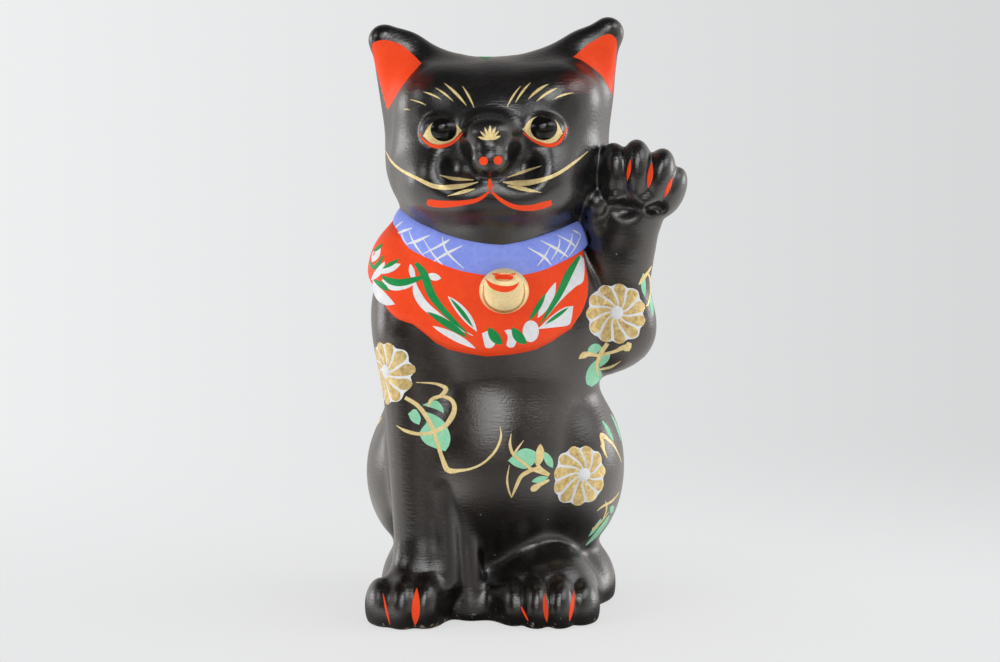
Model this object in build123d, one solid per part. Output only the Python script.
"""Beckoning cat: a hollow figure of low-fired clay, pressed in a two-part mould.

Millimetres, +Z up.  The cat sits on the XY plane and faces -Y, so its own left
side is +X.  The origin is on the underside, below the middle of the body.

The body is a set of egg and limb forms that run into each other.  The place
where they meet each level plane is solved for, and the sections are lofted.
The mould halves, the closing slab and the pieces stuck on with slip are
separate solids that seat face to face.
"""
from build123d import *
import math
import os
import numpy as np

# driving dimensions
WALL = 5.0                # pressed clay wall
SLAB = 6.0                # slab that closes the underside
SEAM_Y = 3.0              # plane where the two mould halves meet
VENT_RADIUS = 4.0         # hole that lets the kiln's heat out of the hollow
VENT_Y = 12.0
COLLAR_PROUD = 2.4        # how far the collar stands off the neck
COLLAR_AXIS = 137.3       # height of the collar's middle, on the axis of the neck
COLLAR_DROP = 0.27        # how much lower it runs per millimetre towards the front
COLLAR_HALF = 5.6         # half of the collar's width
BIB_PROUD = 1.6           # how far the bib stands off the chest
BIB_TOP = 150.0
BELL_CENTRE = (3.1, -38.5, 117.2)
BELL_RADII = (8.2, 6.8, 8.0)
BELL_SLOT = (8.6, 2.2, 1.4)   # width, height and depth
BOX = 400.0               # larger than the figure, for half-space cutters


class Egg:
    """Ellipsoid form: centre, radii, width of its blend and its turn in degrees."""

    def __init__(self, centre, radii, blend=6.0, turn=(0, 0, 0), dent=False):
        self.centre = np.array(centre, float)
        self.radii = np.array(radii, float)
        self.blend = blend
        self.stand = Rot(Z=turn[2]) * Rot(Y=turn[1]) * Rot(X=turn[0])
        plane = Plane(self.stand)
        self.frame = np.array([tuple(plane.x_dir), tuple(plane.y_dir), tuple(plane.z_dir)]).T
        self.dent = dent

    def distance(self, points):
        local = (points - self.centre) @ self.frame
        scaled = np.linalg.norm(local / self.radii, axis=-1)
        slope = np.linalg.norm(local / self.radii**2, axis=-1)
        return scaled * (scaled - 1) / np.maximum(slope, 1e-9)


class Limb:
    """Round cone form between two points, with a radius at each end."""

    def __init__(self, start, end, radius_start, radius_end, blend=6.0):
        self.start = np.array(start, float)
        self.along = np.array(end, float) - self.start
        self.radius_start = radius_start
        self.radius_end = radius_end
        self.blend = blend
        self.dent = False

    def distance(self, points):
        local = points - self.start
        share = np.clip(local @ self.along / (self.along @ self.along), 0, 1)
        off_axis = np.linalg.norm(local - share[..., None] * self.along, axis=-1)
        return off_axis - (self.radius_start + (self.radius_end - self.radius_start) * share)


def blended(first, second, width):
    """Smooth union of two distances: the lesser one, rounded over where they meet."""
    share = np.clip(0.5 + 0.5 * (second - first) / width, 0, 1)
    return second + (first - second) * share - width * share * (1 - share)


def field(points, forms):
    """Distance to all the forms, each run into the ones before it."""
    total = forms[0].distance(points)
    for form in forms[1:]:
        if form.dent:
            total = -blended(-total, form.distance(points), form.blend)
        else:
            total = blended(total, form.distance(points), form.blend)
    return total


def both_sides(x, y, z, radii, blend, dent=False, tilt=0, turn=0, middle=-1.0):
    """The same egg on both sides of the face, mirrored about its middle line."""
    return [
        Egg((middle + side * x, y, z), radii, blend, (0, side * tilt, side * turn), dent)
        for side in (-1, 1)
    ]


TRUNK = [
    Egg((-1, 2, 64), (38.5, 35, 72)),                        # torso
    Egg((-3, -2, 107), (38, 33.5, 33), 8),                   # chest
    Egg((-30.5, -6, 103), (13.2, 19, 26), 8),                # shoulder of the standing foreleg
    Egg((28, -4, 104), (14, 18, 26), 8),                     # shoulder of the raised foreleg
    Egg((-2, 0, 134), (33, 31.5, 20), 8),                    # neck
    Egg((0, -13, 55), (31, 27.5, 31), 7),                    # belly
    Egg((-25.5, 9, 46), (21.5, 31, 29), 6),                  # right haunch
    Egg((26.5, 4, 49), (20.3, 33, 31), 5),                   # left haunch
]
FOOT = [
    Egg((0, -2, 4), (39, 33.5, 13), 7),                      # skirt round the foot of the body
    Egg((28.5, 8, 5), (15.5, 20, 17), 8),                    # left hock
    Egg((-26, 12, 5), (15.5, 20, 17), 8),                    # right hock
]
SKULL = [
    Egg((0.7, 0, 165.5), (38.3, 36, 31.3), 3),
    Egg((0.3, -2, 155), (37.3, 33, 23), 8),                  # jowls
]
TEMPLES = [
    Egg((-21.5, -2, 181.5), (14.5, 22, 14), 8),
    Egg((23.5, -2, 182.5), (15, 22, 14), 8),
]
CROWN = [Egg((0.7, 1, 188.8), (28, 20, 8))]                  # top of the head, above the loft
LEG = [
    Limb((-27.5, -16, 98), (-25, -27, 20), 13.5, 10.2),      # standing foreleg
    Limb((-25, -27, 20), (-25, -26, -12), 10.2, 10, 4),      # its wrist
    Limb((-12, -23, 38), (-6, -25, -8), 4, 8, 8),            # fold between the forelegs
]
FOREPAW = [
    Egg((-30.5, -35, 4), (13.5, 14, 14)),
    Egg((-39.8, -38.5, 6), (5.6, 10, 10), turn=(0, 0, 15)),    # toes, from the outer side
    Egg((-32.3, -41.5, 6), (6.4, 10.5, 11)),
    Egg((-23.4, -40.5, 6), (6, 10.5, 10.8), turn=(0, 0, -12)),
]
HIND_PAW = [
    Egg((19, -25, 8), (18, 20, 19)),                           # instep
    Egg((5.5, -37, 5), (5.4, 9.5, 9.8), turn=(0, 0, 15)),      # toes, from the inner side
    Egg((14, -40.5, 5.5), (5.9, 10, 10.6), turn=(0, 0, 5)),
    Egg((22.8, -40.5, 5.5), (5.9, 10, 10.6), turn=(0, 0, -5)),
    Egg((31, -36, 5), (5.6, 9.5, 9.8), turn=(0, 0, -15)),
]
FACE = [
    *both_sides(18.5, -21.5, 154.5, (13.5, 17, 14.5), 6, middle=-1.2),     # cheeks
    Egg((-1.5, -25, 143), (16, 9.5, 9), 9),                                # chin
    *both_sides(7, -33, 150, (11.5, 9.5, 7.5), 6),                         # lips
    *both_sides(17.7, -42, 172.5, (8.6, 7.5, 6.6), 6, dent=True),          # eye sockets
    *both_sides(11.5, -45, 161, (5.5, 10, 6.5), 5, dent=True, middle=-1.7),  # hollows beside the nose
]
NOSE_AND_EYES = [
    Egg((-1.7, -33, 171.5), (9.2, 10.5, 9)),                               # bulb of the nose
    Egg((-1.7, -40.5, 163.5), (6.2, 6.8, 5.2)),                            # its tip
    *both_sides(17.7, -28, 172.2, (7.6, 6.8, 5.6), 2.5, middle=-1.1),      # eyeballs
]
FIGURE = TRUNK + FOOT + LEG + SKULL + TEMPLES + FACE
FORELEG = [
    Limb((42, -4, 99), (44, -6, 128), 13.5, 11.5),           # forearm
    Limb((36, -3, 94), (44, -4, 101), 11, 13),               # elbow
    Limb((44, -6, 128), (50, -8, 148), 11.5, 12, 5),         # wrist
    Egg((50, -9, 152), (13, 10, 11), 5),                     # palm
]
RAISED_TOES = [
    Egg((41.5, -13, 157), (5.4, 10, 10.5), turn=(0, 0, 8)),  # toes, curled forwards
    Egg((49.3, -15, 157.5), (5.5, 10.5, 11)),
    Egg((57, -14, 155.5), (5.5, 10, 10.5), turn=(0, 14, 0)),
    Egg((62.2, -11, 150), (4.8, 9, 9.5), turn=(0, 22, -8)),
    Egg((39, -13, 143.5), (5.5, 6, 5)),                      # heel pad
    Egg((47.5, -15.5, 146), (4.6, 5, 3.6)),                  # pads under the toes
    Egg((55, -14.5, 146), (4.6, 5, 3.6)),
]
TAIL = [
    Limb((13, 29, 17), (2, 36, 25), 7, 8),
    Limb((2, 36, 25), (-4, 35.5, 38), 8, 6.2),
]


def ear_forms(side, tip, outer_root, inner_root, inner_width):
    """Two rims that meet at the tip, the inner one run into the crown, with a web between them."""
    return [
        Limb(tip, outer_root, 4.6, 5.8),
        Limb(tip, inner_root, 4.8, inner_width, 4),
        Egg((side * 29, 5, 187), (11, 6.5, 19), 5, (0, side * 16, 0)),
    ]


EARS = {
    "right_ear": ear_forms(-1, (-39.6, 4, 202.6), (-29.5, 3, 160), (-10, 5, 183), 10.5),
    "left_ear": ear_forms(1, (40.2, 4, 205.2), (31, 3, 160), (11, 5, 184), 11),
}
EAR_ROOT = 174.0
EAR_TOP = {"right_ear": 207.0, "left_ear": 209.6}


def angles(count, crowding):
    """Angles once round, starting at the back and closer together at the front."""
    share = np.arange(count) / count
    spread = share + crowding * np.sin(2 * np.pi * share) / (2 * np.pi)
    return math.pi / 2 + 2 * np.pi * spread


def sections(forms, levels, axis, around, level_set=0.0, reach=75.0, drop=0.0):
    """Closed curves where the forms meet a stack of planes.

    levels are heights on the axis, axis gives its X and Y at a height, around
    holds the angles, and drop tilts the planes down towards the front.
    """
    levels = np.asarray(levels, float)
    steps = np.linspace(0, reach, 240)
    centre = np.array([axis(level) for level in levels])
    across = np.cos(around)[None, :, None] * steps
    along = np.sin(around)[None, :, None] * steps
    grid = np.broadcast_arrays(
        centre[:, 0, None, None] + across,
        centre[:, 1, None, None] + along,
        levels[:, None, None] + drop * along,
    )
    values = field(np.stack(grid, axis=-1), forms) - level_set
    last = len(steps) - 1 - np.argmax((values < 0)[..., ::-1], axis=-1)
    last = np.clip(last, 0, len(steps) - 2)[..., None]
    inner = np.take_along_axis(values, last, -1)[..., 0]
    outer = np.take_along_axis(values, last + 1, -1)[..., 0]
    radius = steps[last[..., 0]] + steps[1] * inner / (inner - outer)
    return [section_wire(*row, around, drop) for row in zip(centre, levels, radius)]


def section_wire(centre, level, radius, around, drop):
    """One closed spline from its radii about a centre."""
    across = radius * np.cos(around)
    along = radius * np.sin(around)
    points = np.stack([centre[0] + across, centre[1] + along, level + drop * along], axis=-1)
    knots = [float(i) for i in range(len(points) + 1)]
    return Wire([Edge.make_spline([Vector(*p) for p in points], periodic=True, parameters=knots)])


def cast(forms, levels, axis, count, crowding=0.0, level_set=0.0, reach=75.0):
    """Solid of the blended forms, lofted through its sections."""
    return Solid.make_loft(sections(forms, levels, axis, angles(count, crowding), level_set, reach))


def spaced(*stops):
    """Levels between stops, given as a height and the spacing that follows it."""
    levels = []
    for (low, step), (high, _) in zip(stops, stops[1:]):
        levels.extend(np.linspace(low, high, max(1, round((high - low) / step)), endpoint=False))
    return levels + [stops[-1][0]]


def egg_solid(form):
    """Solid of one egg form."""
    return Location(tuple(form.centre)) * form.stand * scale(Sphere(1), tuple(form.radii))


def stuck_on(host, forms):
    """Host with egg forms run into it, cut off level with the ground."""
    lumps = [egg_solid(form) for form in forms]
    ground = Pos(0, 0, BOX / 2) * Box(BOX, BOX, BOX)
    return host.fuse(*lumps) & ground


def body_axis(level):
    """Middle line of the trunk and the head: the Z axis at every level."""
    return 0.0, 0.0


def foreleg_axis(level):
    """Middle line of the raised foreleg, leaning outwards above the wrist."""
    across = np.interp(level, [84, 94, 128, 152], [36.5, 40, 44, 50])
    along = np.interp(level, [84, 152], [-3, -9])
    return float(across), float(along)


def ear_axis(side):
    """Middle line of an ear, leaning out towards its tip."""
    return lambda level: (side * float(np.interp(level, [EAR_ROOT, 206], [25, 40])), 4.0)


def tail_axis(level):
    """Middle line of the tail, which lies up the back."""
    across = np.interp(level, [17, 25, 38], [13, 2, -4])
    along = np.interp(level, [17, 25, 38], [29, 36, 35.5])
    return float(across), float(along)


def cavity():
    """The hollow inside, one wall in from the trunk and the skull, plain at its foot."""
    foot = Egg((0, -1, 6), (30, 26, 30), 10)
    levels = spaced((SLAB, 5), (120, 4), (150, 6), (180, 3), (190, 1))
    return cast(TRUNK + [foot] + SKULL, levels, body_axis, 32, level_set=-WALL)


def slab_blank(hollow):
    """Prism that fills the hollow's outline from its floor to the underside."""
    floor = hollow.faces().sort_by(Axis.Z)[0]
    return extrude(floor, amount=SLAB, dir=(0, 0, -1))


def half_space(front):
    """Everything on one side of the seam."""
    middle = SEAM_Y + (-BOX / 2 if front else BOX / 2)
    return Pos(0, middle, 0) * Box(BOX, BOX, 2 * BOX)


def collar_blank():
    """Tilted band round the neck with rounded edges, solid to the axis."""
    profile = [(-1, 0.35), (-0.55, 0.92), (0, 1), (0.55, 0.92), (1, 0.35)]
    wires = []
    for height, proud in profile:
        level = COLLAR_AXIS + height * COLLAR_HALF
        level_set = proud * COLLAR_PROUD
        wires += sections(TRUNK, [level], body_axis, angles(40, 0.2), level_set, drop=COLLAR_DROP)
    return Solid.make_loft(wires)


def bib_blank():
    """Sheet that lies on the chest inside the bib's outline."""
    skin = cast(TRUNK + LEG, spaced((88, 6), (BIB_TOP, 1)), body_axis, 48, 0.3, level_set=BIB_PROUD)
    hem = Spline(
        (-47, 0, 124), (-42.8, 0, 111), (-36, 0, 105.2), (-29.7, 0, 103.6), (-16, 0, 96),
        (1.7, 0, 93.2), (19, 0, 96), (28.5, 0, 102), (34, 0, 112),
    )
    upper = Polyline((34, 0, 112), (34, 0, BIB_TOP), (-47, 0, BIB_TOP), (-47, 0, 124))
    edge = Wire([hem.edge()] + upper.edges())
    outline = Pos(0, SEAM_Y, 0) * extrude(Face(edge), amount=BOX / 4, dir=(0, -1, 0))
    tilt = math.degrees(math.atan(COLLAR_DROP))
    below_collar = Pos(0, 0, COLLAR_AXIS) * Rot(X=tilt) * Pos(0, 0, -BOX / 2) * Box(BOX, BOX, BOX)
    return skin & outline & below_collar


def bell_blank():
    """Round bell with a slot across its upper front."""
    ball = Pos(*BELL_CENTRE) * scale(Sphere(1), BELL_RADII)
    width, height, depth = BELL_SLOT
    x, y, z = BELL_CENTRE
    place = Pos(x, y - BELL_RADII[1], z + 0.6 * BELL_RADII[2])
    return ball - place * Box(width, 2 * depth + 3, height)


def largest(shape):
    """The main solid of a cut, without the crumbs past its neighbours' edges."""
    return shape.solids().sort_by(SortBy.VOLUME)[-1]


def build():
    """Every piece of the figure, by the name of its node."""
    levels = spaced((0, 2.5), (20, 4), (60, 6), (126, 2), (144, 2.5), (186, 1.4), (194.4, 1))
    trunk = cast(FIGURE, levels, body_axis, 60, 0.4)
    figure = stuck_on(trunk, FOREPAW + HIND_PAW + NOSE_AND_EYES + CROWN)
    hollow = cavity()
    slab = slab_blank(hollow)
    walls = figure - hollow - slab
    forearm = cast(FORELEG, spaced((84.5, 3), (160, 1)), foreleg_axis, 32, reach=30)
    foreleg = stuck_on(forearm, RAISED_TOES)
    collar = collar_blank()
    bib = bib_blank()
    tail = cast(TAIL, spaced((11, 2.5), (43.6, 1)), tail_axis, 24, reach=25)
    vent = Pos(0, VENT_Y, SLAB / 2) * Cylinder(VENT_RADIUS, 2 * SLAB)
    pieces = {
        "front_shell": walls & half_space(True),
        "back_shell": walls & half_space(False),
        "base_slab": slab - vent,
        "raised_foreleg": foreleg - figure,
        "collar": collar - figure - foreleg,
        "bib": largest(bib - figure - foreleg - collar),
        "tail": tail - figure,
    }
    pieces["bell"] = bell_blank() - figure - pieces["bib"] - pieces["collar"]
    for name, forms in EARS.items():
        side = math.copysign(1, forms[0].start[0])
        levels = spaced((EAR_ROOT, 3), (201, 1.2), (EAR_TOP[name], 1))
        pieces[name] = cast(forms, levels, ear_axis(side), 36, reach=30) - figure
    return pieces


os.makedirs("parts", exist_ok=True)
for node, shape in build().items():
    export_step(shape, f"parts/{node}.step")
